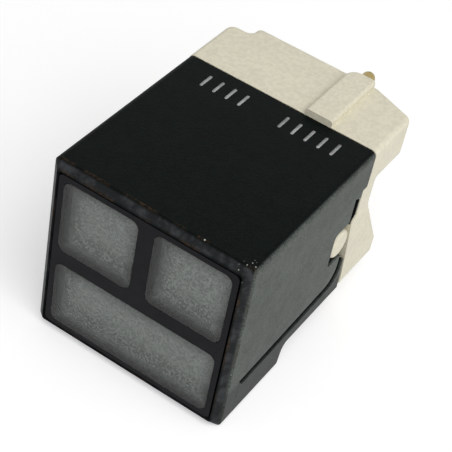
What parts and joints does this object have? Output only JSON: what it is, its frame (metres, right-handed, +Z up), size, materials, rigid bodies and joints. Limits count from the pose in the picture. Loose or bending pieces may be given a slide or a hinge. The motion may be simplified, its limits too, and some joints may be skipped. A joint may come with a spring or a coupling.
{
  "type": "annunciator lamp capsule",
  "caption": "Square plug-in indicator cap with a split display, sprung leaf, removable lamp carrier and a sprung rear contact.",
  "frame": {"origin": "middle of the whole object's box at its lowest plane, the underside of the foot", "axes": "+Z up, -Y towards the display face, +X to the right seen from the front"},
  "size_m": [0.0188, 0.0286, 0.0188],
  "materials": {
    "cap_black": "satin black moulded plastic",
    "frame_black": "matt black legend frame",
    "barrier_black": "matt black light barrier",
    "frosted_pane": "frosted clear acrylic",
    "diffuser_white": "translucent white plastic",
    "carrier_white": "warm off-white moulded plastic",
    "brass": "plain brass",
    "contact_gold": "worn gold plating",
    "spring_steel": "bright spring wire",
    "lamp_glass": "clear lamp glass",
    "lamp_base_metal": "nickel-washed brass",
    "lamp_bead": "dark glass bead",
    "solder": "dull solder",
    "tungsten": "filament and support wires"
  },
  "bodies": {
    "cap": {"cap_shell": "cap_black", "legend_frame": "frame_black", "light_barrier": "barrier_black", "pane_upper_left": "frosted_pane", "pane_upper_right": "frosted_pane", "pane_lower": "frosted_pane", "diffuser_upper_left": "diffuser_white", "diffuser_upper_right": "diffuser_white", "diffuser_lower": "diffuser_white"},
    "leaf": {"sprung_leaf": "cap_black"},
    "carrier": {"lamp_carrier": "carrier_white", "common_plate": "brass", "contact_barrel": "brass", "contact_spring": "spring_steel"},
    "plunger": {"contact_plunger": "contact_gold"},
    "lamp_upper_left": {"lamp_upper_left_glass": "lamp_glass", "lamp_upper_left_base": "lamp_base_metal", "lamp_upper_left_insulator": "lamp_bead", "lamp_upper_left_contact": "solder", "lamp_upper_left_filament": "tungsten"},
    "lamp_upper_right": {"lamp_upper_right_glass": "lamp_glass", "lamp_upper_right_base": "lamp_base_metal", "lamp_upper_right_insulator": "lamp_bead", "lamp_upper_right_contact": "solder", "lamp_upper_right_filament": "tungsten"},
    "lamp_lower_left": {"lamp_lower_left_glass": "lamp_glass", "lamp_lower_left_base": "lamp_base_metal", "lamp_lower_left_insulator": "lamp_bead", "lamp_lower_left_contact": "solder", "lamp_lower_left_filament": "tungsten"},
    "lamp_lower_right": {"lamp_lower_right_glass": "lamp_glass", "lamp_lower_right_base": "lamp_base_metal", "lamp_lower_right_insulator": "lamp_bead", "lamp_lower_right_contact": "solder", "lamp_lower_right_filament": "tungsten"}
  },
  "joints": [
    {"name": "leaf_flex", "type": "hinge", "parent": "cap", "child": "leaf", "pos_m": [0, -0.01196, 0.0021], "axis": [1, 0, 0], "range_deg": [-1, 1], "stiffness_Nm_per_rad": 1},
    {"name": "carrier_slide", "type": "slide", "parent": "cap", "child": "carrier", "axis": [0, 1, 0], "range_m": [0, 0.01]},
    {"name": "plunger_slide", "type": "slide", "parent": "carrier", "child": "plunger", "axis": [0, 1, 0], "range_m": [-0.0008, 0], "stiffness_N_per_m": 100, "springref_m": 0.001, "deforming": ["contact_spring"]},
    {"name": "lamp_upper_left_slide", "type": "slide", "parent": "carrier", "child": "lamp_upper_left", "axis": [0, 1, 0], "range_m": [0, 0.017]},
    {"name": "lamp_upper_right_slide", "type": "slide", "parent": "carrier", "child": "lamp_upper_right", "axis": [0, 1, 0], "range_m": [0, 0.017]},
    {"name": "lamp_lower_left_slide", "type": "slide", "parent": "carrier", "child": "lamp_lower_left", "axis": [0, 1, 0], "range_m": [0, 0.017]},
    {"name": "lamp_lower_right_slide", "type": "slide", "parent": "carrier", "child": "lamp_lower_right", "axis": [0, 1, 0], "range_m": [0, 0.017]}
  ]
}
